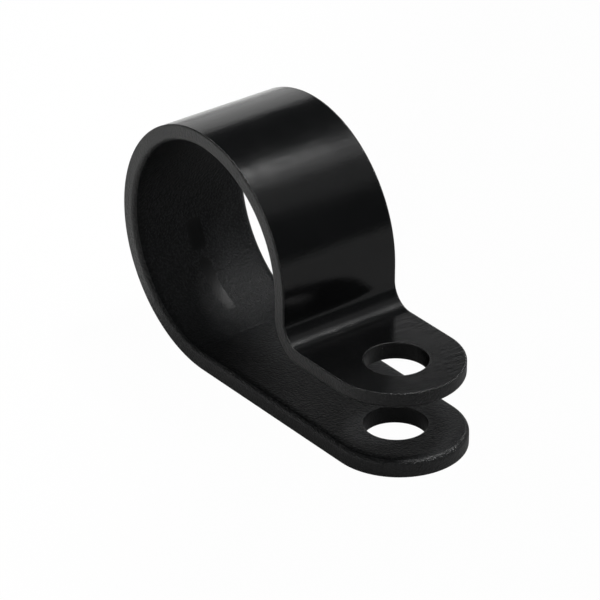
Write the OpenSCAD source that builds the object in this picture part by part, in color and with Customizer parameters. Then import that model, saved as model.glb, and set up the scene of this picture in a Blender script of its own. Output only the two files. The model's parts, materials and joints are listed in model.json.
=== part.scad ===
// P clip for cables: one moulded nylon band. A flat lower leg runs into a round loop, the loop
// comes back down as a riser, and the riser bends out into an upper leg above the lower one.
// One screw goes through both legs and draws the loop shut.
// X runs along the legs, away from the loop. Y is the cable's direction. Z is up.
// The origin is on the screw hole's axis, at the lower leg's underside.

/* [Band] */
// Width of the band, along the cable
band_w = 9.7; // [7:0.1:14]
// Thickness of the loop, the riser and the upper leg
wall_t = 1.25; // [0.9:0.05:1.8]
// Thickness of the lower leg
base_t = 1.3; // [0.9:0.05:1.8]
// Rounding of the inner face's long edges, which lie against the cable
edge_r = 0.4; // [0.1:0.05:0.6]

/* [Loop] */
// Inside diameter of the loop
loop_d = 16; // [14:0.5:30]

/* [Legs] */
// Clear gap between the legs before the screw is tightened
leg_gap = 3.75; // [2:0.25:4.75]
// Radius in the hollow of the bend from the riser to the upper leg
bend_r = 1.7; // [0.8:0.1:2.5]
// Flat run of the upper leg, from the bend to the screw hole's centre
leg_flat = 4.55; // [3.5:0.05:9]
// Reach of the upper leg past the screw hole's centre
end_reach = 4.7; // [3.5:0.1:8]
// Further reach of the lower leg past the upper leg's end
lower_lip = 0.4; // [0:0.1:2]

/* [Screw hole] */
// Diameter of the hole through both legs
hole_d = 4.4; // [3:0.1:5.5]

/* [Hidden] */
$fn = 96;

outer_r = loop_d / 2 + wall_t;
half_w = band_w / 2;
top_z = base_t + leg_gap + wall_t;

// The riser drops from the loop's side to the height where the bend takes over.
bend_z = top_z + bend_r;
riser_run = outer_r - bend_z;

// Places along X, counted from the screw hole.
bend_x = -leg_flat;
loop_x = bend_x - bend_r - outer_r;
upper_end_x = end_reach - half_w;
lower_end_x = upper_end_x + lower_lip;

// The lower leg is thicker than the loop, so its top runs on into the loop by a short heel.
heel_run = outer_r / 2;
// The drill for the screw hole runs this far past both legs.
through = 1;

// Cross-section of the band: the outer face is on the Y axis, the rounded inner face at x = t.
module band_section(t) {
    translate([0, -half_w]) square([t - edge_r, band_w]);
    translate([0, edge_r - half_w]) square([t, band_w - 2 * edge_r]);
    for (side = [-1, 1])
        translate([t - edge_r, side * (half_w - edge_r)]) circle(r = edge_r);
}

// Half of that section, from the middle of the band to its edge, with the outer face on top.
module end_section(t) {
    translate([0, edge_r - t]) square([half_w, t - edge_r]);
    translate([0, -t]) square([half_w - edge_r, t]);
    translate([half_w - edge_r, edge_r - t]) circle(r = edge_r);
}

// Turns a shape made about the Z axis so that its axis lies along the cable.
module along_cable() {
    rotate([90, 0, 0]) children();
}

// Three quarters of a turn about the cable, from the riser over the top to the lower leg.
module loop() {
    along_cable() rotate_extrude(angle = 270)
        translate([outer_r, 0]) mirror([1, 0]) band_section(wall_t);
}

// Straight drop at the loop's side, from the height of the loop's centre.
module riser() {
    translate([outer_r, 0, -riser_run]) mirror([1, 0, 0])
        linear_extrude(height = riser_run) band_section(wall_t);
}

// Quarter bend from the riser's foot to the upper leg, hollow on the band's outer side.
module bend() {
    along_cable() rotate([0, 0, 180]) rotate_extrude(angle = 90)
        translate([bend_r, 0]) band_section(wall_t);
}

// Straight stretch of the band along +X from the origin, with its outer face on top at z = 0.
module straight(t, run) {
    rotate([0, 90, 0]) linear_extrude(height = run) band_section(t);
}

// Full-round end of a leg, about the origin, pointing along +X.
module round_end(t) {
    rotate([0, 0, -90]) rotate_extrude(angle = 180) end_section(t);
}

// Leg from start_x to the centre of its round end, with its outer face on top at z = 0.
module leg(t, start_x, end_x) {
    translate([start_x, 0, 0]) straight(t, end_x - start_x);
    translate([end_x, 0, 0]) round_end(t);
}

// Top of the lower leg where it fades into the bottom of the loop.
module heel() {
    intersection() {
        translate([-heel_run, 0, -outer_r]) mirror([0, 0, 1]) straight(base_t, heel_run);
        along_cable() cylinder(r = outer_r, h = band_w, center = true);
    }
}

module screw_hole() {
    translate([0, 0, -through]) cylinder(d = hole_d, h = top_z + 2 * through);
}

module clip() {
    color([0.10, 0.10, 0.11]) difference() {
        union() {
            translate([loop_x, 0, outer_r]) {
                loop();
                riser();
                heel();
            }
            translate([bend_x, 0, bend_z]) bend();
            translate([0, 0, top_z]) leg(wall_t, bend_x, upper_end_x);
            mirror([0, 0, 1]) leg(base_t, loop_x, lower_end_x);
        }
        screw_hole();
    }
}

clip();
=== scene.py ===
# Visual model of the black nylon p clip: one bent, moulded band, its studio and its camera.

import json
import math

import bmesh
import bpy
from mathutils import Matrix, Vector


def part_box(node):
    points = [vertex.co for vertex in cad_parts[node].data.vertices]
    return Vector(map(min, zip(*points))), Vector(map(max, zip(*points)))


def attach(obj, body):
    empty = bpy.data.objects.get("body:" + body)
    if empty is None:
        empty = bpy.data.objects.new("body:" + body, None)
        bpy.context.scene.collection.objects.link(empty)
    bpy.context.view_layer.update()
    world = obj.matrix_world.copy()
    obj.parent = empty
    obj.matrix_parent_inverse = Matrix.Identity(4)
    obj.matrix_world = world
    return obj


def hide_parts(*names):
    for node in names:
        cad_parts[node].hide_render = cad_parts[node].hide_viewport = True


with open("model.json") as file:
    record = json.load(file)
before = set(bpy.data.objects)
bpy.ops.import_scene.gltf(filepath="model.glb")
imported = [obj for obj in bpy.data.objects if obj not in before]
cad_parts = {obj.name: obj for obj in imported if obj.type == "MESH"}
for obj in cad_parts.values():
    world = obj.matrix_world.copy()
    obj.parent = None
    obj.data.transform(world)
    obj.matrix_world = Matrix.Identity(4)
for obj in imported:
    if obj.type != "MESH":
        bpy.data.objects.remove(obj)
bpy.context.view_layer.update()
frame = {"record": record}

# ---------------------------------------------------------------- sizes, in metres
MM = 0.001
MOUNTS = {m["name"]: m for m in frame["record"]["mounts"]}
LOW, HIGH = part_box("clip")

HOLE_R = MOUNTS["screw_hole"]["dims"]["r_mm"] * MM
UPPER_TOP = MOUNTS["screw_hole"]["dims"]["length_mm"] * MM     # outer face of the upper leg
LOOP_IN = MOUNTS["cable_loop"]["dims"]["r_mm"] * MM
LOOP_X = MOUNTS["cable_loop"]["pos_m"][0]
LOOP_Z = MOUNTS["cable_loop"]["pos_m"][2]
LOOP_OUT = LOOP_Z                                              # the loop stands on the base plane
WALL = LOOP_OUT - LOOP_IN
HALF_W = HIGH.y                                                # half the width of the band
LOWER_END = HIGH.x                                             # tip of the lower leg
UPPER_END = 4.7 * MM                                           # tip of the upper leg
LOWER_T = 1.3 * MM                                             # thickness of the lower leg
BEND_R = 1.7 * MM                                              # outer-face radius of the bend
FILLET = 0.42 * MM                                             # rounding of the inner edges: depth
CROWN = 0.75 * MM                                              # and how far it reaches in
SIDE_REACH = 0.36 * MM                                         # how far in the side's finish runs
NIB = 0.07 * MM                                                # softening of the sharp outer edges
HOLE_NIB = 0.06 * MM                                           # softening of the hole's rims
GUARD = 0.05 * MM                                              # support loop beside each rounding

RISER_X = LOOP_X + LOOP_OUT                                    # outer face of the riser
BEND_X = RISER_X + BEND_R                                      # where the upper leg starts
BEND_Z = UPPER_TOP + BEND_R                                    # where the riser ends

# Lengths along the outer face, from the hole in the lower leg round to the hole in the upper leg.
S_LOWER = 4.85 * MM                                            # joint: end patch to lower leg
S_LOOP = -LOOP_X                                               # lower leg runs into the loop
S_RISER = S_LOOP + LOOP_OUT * math.radians(270)
S_BEND = S_RISER + (LOOP_Z - BEND_Z)
S_UPPER = S_BEND + BEND_R * math.radians(90)                   # joint: bend to end patch
S_HOLE2 = S_UPPER - BEND_X                                     # axis of the upper hole

# Two blank smooth patches sunk in the grained inside of the loop: angles and half width.
PATCHES = ((195, 211, 0.62 * MM), (216, 248, 0.41 * MM))
PATCH_DEPTH = 0.012 * MM
PATCH_EDGE = 0.20 * MM                                         # width of a patch's sloping rim
PATCH_CORNER = 0.35 * MM
HEEL_CUT = 0.02 * MM                                           # depth of the crease at the heel

FINE = 0.62 * MM                                               # half width of the finely cut strip
FINE_CELLS = 6
SIDE_CELLS = 10                                                # cells from there to the edge
END_ARC = 40                                                   # cells round each leg's end
END_SIDE = 10                                                  # cells along an end patch's side


# ---------------------------------------------------------------- the band's path
def heel_turn():
    """Angle from the bottom of the loop at which the lower leg's top meets the loop's inside."""
    return math.acos((LOOP_OUT - LOWER_T) / LOOP_IN)


def thickness(s):
    """Band thickness at a length s along the outer face."""
    if s <= S_LOOP:
        return LOWER_T
    turn = (s - S_LOOP) / LOOP_OUT
    if turn < heel_turn():
        return LOOP_OUT - (LOOP_OUT - LOWER_T) / math.cos(turn)
    return WALL


def path(s):
    """Point on the outer face at mid width, and the direction into the band there."""
    if s <= S_LOOP:
        return Vector((-s, 0, 0)), Vector((0, 0, 1))
    if s <= S_RISER:
        turn = math.radians(270) - (s - S_LOOP) / LOOP_OUT
        out = Vector((math.cos(turn), 0, math.sin(turn)))
        return Vector((LOOP_X, 0, LOOP_Z)) + LOOP_OUT * out, -out
    if s <= S_BEND:
        return Vector((RISER_X, 0, LOOP_Z - (s - S_RISER))), Vector((-1, 0, 0))
    if s <= S_UPPER:
        turn = math.radians(180) + (s - S_BEND) / BEND_R
        out = Vector((math.cos(turn), 0, math.sin(turn)))
        return Vector((BEND_X, 0, BEND_Z)) + BEND_R * out, out
    return Vector((BEND_X + (s - S_UPPER), 0, UPPER_TOP)), Vector((0, 0, -1))


def loop_length(angle):
    """Length along the outer face at an angle round the loop, in degrees."""
    return S_LOOP + LOOP_OUT * math.radians(270 - angle)


def spread(start, end, count):
    return [start + (end - start) * i / count for i in range(count + 1)]


def stations():
    """Lengths at which the middle of the band is cut into cells: fine along the patches."""
    heel = S_LOOP + LOOP_OUT * heel_turn()
    soft = 0.05 * MM
    out = spread(S_LOWER, S_LOOP, 24)[:-1]
    out += spread(S_LOOP, heel - soft, 4)
    out += [heel]
    out += spread(heel + soft, loop_length(248), 10)[:-1]
    out += spread(loop_length(248), loop_length(195), 78)
    out += spread(loop_length(195), S_RISER, 120)[1:]
    out += spread(S_RISER, S_BEND, 4)[1:]
    out += spread(S_BEND, S_UPPER, 28)[1:]
    return out


def patch_inset(s, y):
    """How far inside the rounded outline of a smooth patch a point lies; below 0 outside."""
    best = -1.0
    for low, high, half in PATCHES:
        ends = min(s - loop_length(high), loop_length(low) - s)
        sides = half - abs(y)
        corner = math.hypot(max(PATCH_CORNER - ends, 0), max(PATCH_CORNER - sides, 0))
        best = max(best, PATCH_CORNER - corner)
    return best


def dent(s, y):
    """How far the inside is sunk at a point: the smooth patches and the crease at the heel."""
    inset = patch_inset(s, y)
    if inset > 0:
        return PATCH_DEPTH * min(1.0, inset / PATCH_EDGE)
    at_heel = abs(s - S_LOOP - LOOP_OUT * heel_turn()) < 0.001 * MM
    if at_heel and abs(y) < HALF_W - CROWN - 2 * GUARD:
        return HEEL_CUT
    return 0.0


def edge_gap(s, y):
    """Distance in the flat strip from a point to its outline or to the rim of a hole."""
    gap = HALF_W - abs(y)
    for way, hole, tip in ((-1, 0.0, -LOWER_END), (1, S_HOLE2, S_HOLE2 + UPPER_END)):
        centre = tip - way * HALF_W
        if way * (s - centre) > 0:
            gap = HALF_W - math.hypot(s - centre, y)
        gap = min(gap, abs(math.hypot(s - hole, y) - HOLE_R))
    return max(gap, 0.0)


# ---------------------------------------------------------------- the mesh
class Blank:
    """The flat strip before it is bent: every vertex is known by (length, width, depth)."""

    def __init__(self):
        self.mesh = bmesh.new()
        self.uv = self.mesh.loops.layers.uv.new("band")
        self.edge = self.mesh.loops.layers.uv.new("edge")
        self.verts = {}
        self.flat = {}

    def vertex(self, s, y, depth):
        key = (round(s * 1e7), round(y * 1e7), round(depth * 1e7))
        if key not in self.verts:
            point, inward = path(s)
            place = point + inward * depth + Vector((0, y, 0))
            self.verts[key] = self.mesh.verts.new(place)
            edge = max(edge_gap(s, y), min(depth, thickness(s) - depth))
            self.flat[self.verts[key]] = (s, y, edge)
        return self.verts[key]

    def face(self, corners, surface):
        verts = []
        for corner in corners:
            v = self.vertex(*corner)
            if v not in verts:
                verts.append(v)
        if len(verts) < 3:
            return
        face = self.mesh.faces.new(verts)
        face.material_index = surface
        face.smooth = True
        for loop in face.loops:
            s, y, edge = self.flat[loop.vert]
            loop[self.uv].uv = (s / MM, y / MM)
            loop[self.edge].uv = (edge / MM, 0)


OUTER, INNER, SIDE, BORE, PATCH = range(5)


def rounding(reach, radius, steps):
    """(inset, depth) pairs of a quarter round, from a face to the side below it."""
    out = []
    for i in range(steps + 1):
        a = math.radians(90) * i / steps
        out.append((reach * (1 - math.sin(a)), radius * (1 - math.cos(a))))
    return out


def edge_levels(t):
    """(inset, depth) pairs down the side of the band, outer face first."""
    outer = rounding(NIB, NIB, 4)
    inner = rounding(CROWN, FILLET, 12)
    levels = [(NIB + GUARD, 0.0)] + outer
    levels += [(0.0, NIB + GUARD), (0.0, (NIB + t - FILLET) / 2), (0.0, t - FILLET - GUARD)]
    levels += [(inset, t - depth) for inset, depth in reversed(inner)]
    levels += [(CROWN + GUARD, t)]
    return levels


def edge_surface(inset):
    """The side's finish runs a little way over the crown; past that the inside's finish starts."""
    return INNER if inset > SIDE_REACH else SIDE


def bore_levels(t):
    """(radius, depth) pairs down the wall of a hole, outer face first."""
    rim = rounding(HOLE_NIB, HOLE_NIB, 4)
    levels = [(HOLE_R + HOLE_NIB + GUARD, 0.0)]
    levels += [(HOLE_R + inset, depth) for inset, depth in rim]
    levels += [(HOLE_R, HOLE_NIB + GUARD), (HOLE_R, t / 2), (HOLE_R, t - HOLE_NIB - GUARD)]
    levels += [(HOLE_R + inset, t - depth) for inset, depth in reversed(rim)]
    levels += [(HOLE_R + HOLE_NIB + GUARD, t)]
    return levels


def end_outline(inset, joint, hole, tip):
    """Outline of an end patch at an inset: side, round end, side, in the (length, width) plane.

    joint is where the patch meets the rest and tip the leg's end; hole is not used."""
    way = 1 if tip > joint else -1
    centre = tip - way * HALF_W
    half = HALF_W - inset
    side = [(s, half) for s in spread(joint, centre, END_SIDE)[:-1]]
    arc = []
    for i in range(END_ARC + 1):
        a = math.radians(90) - math.radians(180) * i / END_ARC
        arc.append((centre + way * half * math.cos(a), half * math.sin(a)))
    back = [(s, -half) for s in spread(centre, joint, END_SIDE)[1:]]
    return side + arc + back


def across(inset):
    """Widths at which the band is cut: fine along the smooth patches."""
    near = spread(0.0, FINE, FINE_CELLS) + spread(FINE, HALF_W - inset, SIDE_CELLS)[1:]
    return near[::-1] + [-y for y in near[1:]]


def middle_faces(blank, cuts):
    for s0, s1 in zip(cuts, cuts[1:]):
        t0, t1 = thickness(s0), thickness(s1)
        l0, l1 = edge_levels(t0), edge_levels(t1)
        ys = across(l0[0][0])
        for ya, yb in zip(ys, ys[1:]):
            blank.face([(s0, ya, 0.0), (s1, ya, 0.0), (s1, yb, 0.0), (s0, yb, 0.0)], OUTER)
        ys = across(l0[-1][0])
        for ya, yb in zip(ys, ys[1:]):
            corners = [(s0, ya, t0), (s1, ya, t1), (s1, yb, t1), (s0, yb, t0)]
            corners = [(s, y, t - dent(s, y)) for s, y, t in corners]
            smooth = patch_inset((s0 + s1) / 2, (ya + yb) / 2) > 0
            blank.face(corners, PATCH if smooth else INNER)
        for k in range(len(l0) - 1):
            (ia, a0), (ib, b0) = l0[k], l0[k + 1]
            a1, b1 = l1[k][1], l1[k + 1][1]
            ya, yb = HALF_W - ia, HALF_W - ib
            surface = edge_surface(ib)
            for sign in (1, -1):
                corners = [(s0, ya, a0), (s0, yb, b0), (s1, yb, b1), (s1, ya, a1)]
                blank.face([(s, sign * y, d) for s, y, d in corners], surface)


def blend(a, b, share):
    return tuple(p + (q - p) * share for p, q in zip(a, b))


def end_rim(inset, joint, hole, tip):
    """Closed rim of an end patch: its outline and the joint line, in order."""
    joint_line = [(joint, y) for y in reversed(across(inset))]
    return end_outline(inset, joint, hole, tip) + joint_line[1:-1]


def end_faces(blank, joint, hole, tip, t):
    """The flat round end of a leg with its hole: edge, hole wall, outer and inner face."""
    levels = edge_levels(t)
    rings = [end_outline(inset, joint, hole, tip) for inset, depth in levels]
    for k in range(len(levels) - 1):
        da, db = levels[k][1], levels[k + 1][1]
        for i in range(len(rings[k]) - 1):
            pa, pb = rings[k][i], rings[k][i + 1]
            qa, qb = rings[k + 1][i], rings[k + 1][i + 1]
            surface = edge_surface(levels[k + 1][0])
            blank.face([(*pa, da), (*pb, da), (*qb, db), (*qa, db)], surface)

    angles = [math.atan2(y, s - hole) for s, y in end_rim(0, joint, hole, tip)]
    circles = []
    for radius, depth in bore_levels(t):
        circles.append([(hole + radius * math.cos(a), radius * math.sin(a), depth) for a in angles])
    count = len(angles)
    for ring, deeper in zip(circles, circles[1:]):
        for i in range(count):
            j = (i + 1) % count
            blank.face([ring[i], ring[j], deeper[j], deeper[i]], BORE)

    shares = [0, 0.04, 0.1, 0.2, 0.35, 0.5, 0.7, 0.88, 1]
    for end, surface in ((0, OUTER), (-1, INNER)):
        depth = levels[end][1]
        rim = [(*p, depth) for p in end_rim(levels[end][0], joint, hole, tip)]
        circle = circles[end]
        for fa, fb in zip(shares, shares[1:]):
            for i in range(count):
                j = (i + 1) % count
                corners = [blend(circle[i], rim[i], fa), blend(circle[j], rim[j], fa),
                           blend(circle[j], rim[j], fb), blend(circle[i], rim[i], fb)]
                blank.face(corners, surface)


def build_clip():
    blank = Blank()
    middle_faces(blank, stations())
    end_faces(blank, S_LOWER, 0.0, -LOWER_END, LOWER_T)
    end_faces(blank, S_UPPER, S_HOLE2, S_HOLE2 + UPPER_END, WALL)
    bmesh.ops.recalc_face_normals(blank.mesh, faces=blank.mesh.faces)
    mesh = bpy.data.meshes.new("clip_band")
    blank.mesh.to_mesh(mesh)
    blank.mesh.free()
    clip = bpy.data.objects.new("clip_band", mesh)
    bpy.context.scene.collection.objects.link(clip)
    return clip


# ---------------------------------------------------------------- materials
class Nodes:
    """A short way to write a node tree."""

    def __init__(self, material):
        self.tree = material.node_tree
        self.tree.nodes.clear()

    def add(self, kind, **settings):
        node = self.tree.nodes.new(kind)
        for name, value in settings.items():
            setattr(node, name, value)
        return node

    def link(self, source, target):
        self.tree.links.new(source, target)

    def noise(self, vector, scale, detail=2.0, roughness=0.5):
        node = self.add("ShaderNodeTexNoise")
        node.inputs["Scale"].default_value = scale
        node.inputs["Detail"].default_value = detail
        node.inputs["Roughness"].default_value = roughness
        self.link(vector, node.inputs["Vector"])
        return node.outputs["Fac"]

    def scaled(self, vector, scale):
        node = self.add("ShaderNodeMapping")
        node.inputs["Scale"].default_value = scale
        self.link(vector, node.inputs["Vector"])
        return node.outputs["Vector"]

    def remap(self, value, low, high, new_low, new_high):
        node = self.add("ShaderNodeMapRange")
        node.inputs["From Min"].default_value = low
        node.inputs["From Max"].default_value = high
        node.inputs["To Min"].default_value = new_low
        node.inputs["To Max"].default_value = new_high
        self.link(value, node.inputs["Value"])
        return node.outputs["Result"]

    def along(self, place, azimuth, start, end, high):
        """A value that grows from 0 to high between two distances in a direction."""
        node = self.add("ShaderNodeVectorMath", operation="DOT_PRODUCT")
        a = math.radians(azimuth)
        node.inputs[1].default_value = (math.cos(a), math.sin(a), 0)
        self.link(place, node.inputs[0])
        return self.remap(node.outputs["Value"], start, end, 0, high)

    def pick(self, a, b, operation):
        node = self.add("ShaderNodeMath", operation=operation)
        self.link(a, node.inputs[0])
        self.link(b, node.inputs[1])
        return node.outputs[0]

    def add_values(self, a, b):
        return self.pick(a, b, "ADD")

    def times(self, value, factor):
        node = self.add("ShaderNodeMath", operation="MULTIPLY")
        node.inputs[1].default_value = factor
        self.link(value, node.inputs[0])
        return node.outputs[0]

    def bump(self, height, distance, under=None):
        """Bump from a height between 0 and 1; distance is the height of 1, in metres."""
        node = self.add("ShaderNodeBump")
        node.inputs["Distance"].default_value = distance
        self.link(height, node.inputs["Height"])
        if under is not None:
            self.link(under, node.inputs["Normal"])
        return node.outputs["Normal"]

    def ramp(self, value, low_color, high_color):
        """Colour between two fixed colours. A colour mix has its own, third, set of sockets."""
        node = self.add("ShaderNodeMix", data_type="RGBA")
        node.inputs[6].default_value = low_color
        node.inputs[7].default_value = high_color
        self.link(value, node.inputs["Factor"])
        return node.outputs[2]

    def mix_color(self, value, color, high_color):
        node = self.add("ShaderNodeMix", data_type="RGBA")
        self.link(color, node.inputs[6])
        node.inputs[7].default_value = high_color
        self.link(value, node.inputs["Factor"])
        return node.outputs[2]


NYLON_IOR = 1.53
BLACK = (0.0046, 0.0048, 0.0050)
# Lighter grey at the edges: partly wear, partly painted glints where light catches the edges.
WEAR_AND_GLINT_COLOR = (0.020, 0.0195, 0.019, 1.0)


def tint(shade):
    return tuple(c * shade for c in BLACK) + (1.0,)


def nylon(name, shade, rough, specular, grain, grain_depth, painted_glints, wave_depth, wear_and_glint_amount):
    """Black moulded nylon: moulded grain, waves and streaks across the band; pale specks that are
    painted glints of the grain, edges that are partly worn and partly painted glints, and a shade
    that paints each finish lighter or darker.
    """
    material = bpy.data.materials.new(name)
    material.use_nodes = True
    n = Nodes(material)
    out = n.add("ShaderNodeOutputMaterial")
    shader = n.add("ShaderNodeBsdfPrincipled")
    shader.inputs["IOR"].default_value = NYLON_IOR
    shader.inputs["Specular IOR Level"].default_value = specular
    n.link(shader.outputs["BSDF"], out.inputs["Surface"])
    place = n.add("ShaderNodeTexCoord").outputs["Object"]
    band = n.add("ShaderNodeUVMap", uv_map="band").outputs["UV"]
    edge = n.add("ShaderNodeSeparateXYZ")
    n.link(n.add("ShaderNodeUVMap", uv_map="edge").outputs["UV"], edge.inputs["Vector"])

    blotch = n.remap(n.noise(place, 450.0, 3.0), 0.3, 0.7, 0, 1)
    fine = n.noise(place, grain, 2.0, 0.6)
    waves = n.noise(n.scaled(band, (2.6, 0.9, 1.0)), 1.0, 3.0, 0.55)
    lines = n.noise(n.scaled(band, (8.0, 0.4, 1.0)), 1.0, 2.0, 0.6)
    # Edge mask, partly wear and partly painted glints: lighter colour and rougher near the edges.
    near_edge = n.remap(edge.outputs["X"], 0.02, 0.22, 1, 0)
    chips = n.remap(n.noise(place, 2600.0, 3.0, 0.65), 0.42, 0.62, 0, wear_and_glint_amount)
    wear_and_glint = n.pick(near_edge, chips, "MULTIPLY")

    tone = n.ramp(blotch, tint(shade), tint(shade * 1.35))
    # Pale specks in the base colour: painted glints, standing in for light sparkling off the grain.
    glint_color = tint(shade * (1 + 2 * painted_glints))
    tone = n.mix_color(n.remap(fine, 0.44, 0.66, 0, 1), tone, glint_color)
    n.link(n.mix_color(wear_and_glint, tone, WEAR_AND_GLINT_COLOR), shader.inputs["Base Color"])

    gloss = n.remap(blotch, 0, 1, rough - 0.02, rough + 0.02)
    gloss = n.add_values(gloss, n.remap(lines, 0.3, 0.7, -0.02, 0.02))
    gloss = n.add_values(gloss, n.times(wear_and_glint, 0.12))
    n.link(gloss, shader.inputs["Roughness"])

    normal = n.bump(fine, grain_depth)
    normal = n.bump(waves, wave_depth, under=normal)
    normal = n.bump(lines, wave_depth * STREAK_SHARE, under=normal)
    n.link(normal, shader.inputs["Normal"])
    return material


STREAK_SHARE = 0.40            # how deep the fine streaks are beside the broad waves


def dress(clip):
    looks = (
        # name, shade, roughness, specular, grain, grain depth, painted glints, wave depth, wear and
        # glint
        # The shade column sets each finish's black base colour as painted light and shade: the
        # inside of the loop is painted paler, standing in for light that reaches it too weakly, and
        # the outer face and smooth patches are painted darker.
        ("nylon_outer", 0.55, 0.15, 0.50, 9000.0, 0.0000040, 0.3, 0.0000060, 0.5),
        ("nylon_inner", 1.2, 0.41, 0.15, 6500.0, 0.0000750, 0.9, 0.0000010, 0.4),
        ("nylon_side", 0.8, 0.33, 0.54, 7000.0, 0.0001000, 1.2, 0.0000010, 0.8),
        ("nylon_bore", 0.9, 0.30, 0.30, 8000.0, 0.0000300, 0.5, 0.0000020, 0.9),
        ("nylon_patch", 0.7, 0.42, 0.20, 8000.0, 0.0000150, 0.2, 0.0000010, 0.0),
    )
    for look in looks:
        clip.data.materials.append(nylon(*look))


# ---------------------------------------------------------------- the studio
CAMERA_WHITE = 0.985           # how far the paper is plain white to the camera


def white_sheet(name, near_tone, far_tone, mirror_white):
    """White paper: white to the camera and in reflections, and it keeps the object's shadow; its
    colour darkens from near_tone to far_tone across the floor as painted shade.
    """
    material = bpy.data.materials.new(name)
    material.use_nodes = True
    n = Nodes(material)
    out = n.add("ShaderNodeOutputMaterial")
    paper = n.add("ShaderNodeBsdfDiffuse")
    place = n.add("ShaderNodeTexCoord").outputs["Object"]
    # Painted shade: the paper's colour darkens with distance in two directions.
    painted_falloff = n.along(place, FALL_AZIMUTH, FALL_FROM, FALL_TO, 1.0)
    painted_falloff = n.add_values(painted_falloff, n.along(place, DIM_AZIMUTH, DIM_FROM, DIM_TO, DIM_SHARE))
    fibre = n.remap(n.noise(place, 60.0, 3.0), 0.3, 0.7, -0.01, 0.01)
    n.link(n.ramp(n.add_values(painted_falloff, fibre), near_tone, far_tone), paper.inputs["Color"])

    glow = n.add("ShaderNodeEmission")
    glow.inputs["Strength"].default_value = 1.0
    ray = n.add("ShaderNodeLightPath")
    mirrored = n.pick(ray.outputs["Is Glossy Ray"], ray.outputs["Is Transmission Ray"], "MAXIMUM")
    mirrored = n.times(mirrored, mirror_white)
    seen = n.times(ray.outputs["Is Camera Ray"], CAMERA_WHITE)
    mix = n.add("ShaderNodeMixShader")
    n.link(n.pick(seen, mirrored, "MAXIMUM"), mix.inputs["Fac"])
    n.link(paper.outputs["BSDF"], mix.inputs[1])
    n.link(glow.outputs["Emission"], mix.inputs[2])
    n.link(mix.outputs["Shader"], out.inputs["Surface"])
    return material


# The paper's colour is bright on the left and darker to the right and, less, to the front left:
# painted shade, standing in for light that falls off across the floor.
FALL_AZIMUTH, FALL_FROM, FALL_TO = 40, -0.026, -0.008
DIM_AZIMUTH, DIM_FROM, DIM_TO, DIM_SHARE = 233, 0.024, 0.040, 0.40
FLOOR_R = 0.80                 # where the floor starts to curve up
WALL_R = 0.90                  # how far off the walls stand
BACK_RISE = 28.0               # height of the backdrop, as an elevation seen from the object
SIDE_RISE = 40.0
RIM_RISE = 3.0                 # the low rim elsewhere


def revolved(name, profile, azimuths):
    """A sheet swept round the object: profile gives (radius, height) pairs."""
    mesh = bmesh.new()
    rows = []
    for azimuth in azimuths:
        a = math.radians(azimuth)
        rows.append([mesh.verts.new((r * math.cos(a), r * math.sin(a), z)) for r, z in profile])
    for ra, rb in zip(rows, rows[1:]):
        for k in range(len(ra) - 1):
            mesh.faces.new((ra[k], ra[k + 1], rb[k + 1], rb[k]))
    bmesh.ops.remove_doubles(mesh, verts=mesh.verts, dist=0.000001)
    bmesh.ops.recalc_face_normals(mesh, faces=mesh.faces)
    data = bpy.data.meshes.new(name)
    mesh.to_mesh(data)
    mesh.free()
    for polygon in data.polygons:
        polygon.use_smooth = True
    sheet = bpy.data.objects.new(name, data)
    bpy.context.scene.collection.objects.link(sheet)
    return sheet


def wall(name, azimuths, rise):
    """Paper that curves up from the floor to a height, between two azimuths."""
    top = WALL_R * math.tan(math.radians(rise))
    turn = min(WALL_R - FLOOR_R, top)
    profile = [(FLOOR_R, 0.0)]
    for i in range(9):
        a = math.radians(90) * i / 8
        profile.append((WALL_R - turn + turn * math.sin(a), turn * (1 - math.cos(a))))
    profile.append((WALL_R, max(top, turn * 1.01)))
    return revolved(name, profile, azimuths)


def studio():
    # far is the darkest tone of the floor's painted shade.
    near, far = (0.97, 0.97, 0.96, 1), (0.17, 0.17, 0.17, 1)
    floor = revolved("floor", [(0, 0), (0.2, 0), (FLOOR_R, 0)], spread(0, 360, 90))
    floor.data.materials.append(white_sheet("floor_paper", near, far, 0.10))
    back = wall("backdrop", spread(134, 152, 12), BACK_RISE)
    back.data.materials.append(white_sheet("backdrop_paper", near, near, 0.75))
    side = wall("side_wall", spread(200, 265, 20), SIDE_RISE)
    side.data.materials.append(white_sheet("side_paper", near, near, 0.22))
    front = wall("front_wall", spread(265, 325, 20), SIDE_RISE)
    front.data.materials.append(white_sheet("front_paper", near, near, 0.35))
    for name, start, end in (("rim_left", 152, 200), ("rim", 325, 494)):
        rim = wall(name, spread(start, end, 60), RIM_RISE)
        rim.data.materials.append(white_sheet(name + "_paper", near, near, 0.10))

    world = bpy.data.worlds.new("studio")
    bpy.context.scene.world = world
    world.use_nodes = True
    world.node_tree.nodes["Background"].inputs["Color"].default_value = (0.9, 0.97, 1.0, 1)
    world.node_tree.nodes["Background"].inputs["Strength"].default_value = 0.045


AIM = Vector((-9.977, -0.549, 6.611)) * MM


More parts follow.
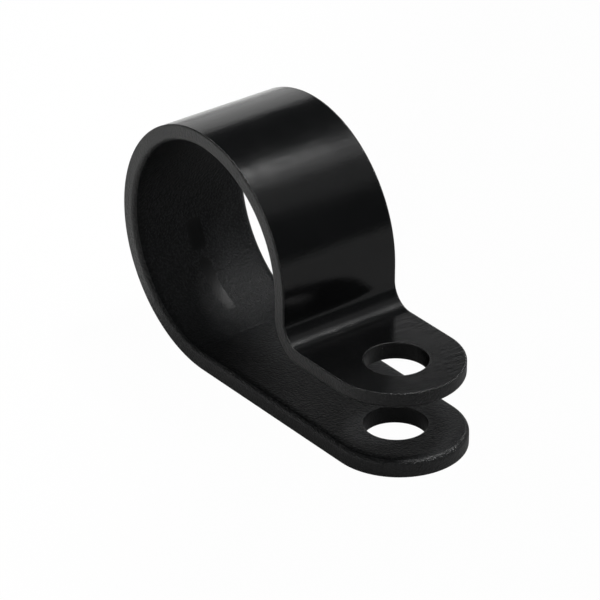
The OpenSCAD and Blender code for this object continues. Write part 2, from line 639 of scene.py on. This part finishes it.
def lamp(name, azimuth, elevation, distance, width, height, watts, tint=(1, 1, 1)):
    """A soft box that faces the object, placed by the direction it is seen in."""
    data = bpy.data.lights.new(name, "AREA")
    data.shape = "RECTANGLE"
    data.size = width
    data.size_y = height
    data.energy = watts
    data.color = tint
    box = bpy.data.objects.new(name, data)
    a, e = math.radians(azimuth), math.radians(elevation)
    to_lamp = Vector((math.cos(a) * math.cos(e), math.sin(a) * math.cos(e), math.sin(e)))
    box.location = AIM + to_lamp * distance
    box.rotation_mode = "QUATERNION"
    box.rotation_quaternion = to_lamp.to_track_quat("Z", "Y")
    bpy.context.scene.collection.objects.link(box)
    return box


def lights():
    lamp("key", 74, 69, 0.5, 0.09, 0.09, 1.45)
    lamp("soft_box_over", 74, 56, 0.5, 0.14, 0.30, 0.058)
    lamp("soft_box_wide", 58, 44, 0.5, 0.24, 0.36, 0.062)
    over = lamp("fill_over", 0, 88, 0.6, 0.6, 0.6, 0.6)
    over.visible_glossy = False
    side = lamp("fill_far_side", 54, 25, 0.6, 0.5, 0.3, 2.2)
    side.visible_glossy = False


# ---------------------------------------------------------------- the camera
VIEW_AZIMUTH = 52.456
VIEW_ELEVATION = 29.022
VIEW_ROLL = 0.179
VIEW_DISTANCE = 303.35 * MM
LENS = 264.58


def camera():
    a, e = math.radians(VIEW_AZIMUTH), math.radians(VIEW_ELEVATION)
    back = Vector((math.sin(a) * math.cos(e), -math.cos(a) * math.cos(e), math.sin(e)))
    right = Vector((math.cos(a), math.sin(a), 0))
    up = back.cross(right)
    r = math.radians(VIEW_ROLL)
    right, up = math.cos(r) * right + math.sin(r) * up, math.cos(r) * up - math.sin(r) * right
    data = bpy.data.cameras.new("camera")
    data.lens = LENS
    data.sensor_width = 36.0
    data.clip_start = 0.01
    data.clip_end = 10.0
    cam = bpy.data.objects.new("camera", data)
    bpy.context.scene.collection.objects.link(cam)
    rows = [[right[i], up[i], back[i]] for i in range(3)]
    cam.matrix_world = Matrix.Translation(AIM + back * VIEW_DISTANCE) @ Matrix(rows).to_4x4()
    bpy.context.scene.camera = cam


# ---------------------------------------------------------------- put together
camera()
clip = build_clip()
dress(clip)
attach(clip, "root")
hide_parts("clip")
studio()
lights()
bpy.context.scene.view_settings.view_transform = "Standard"
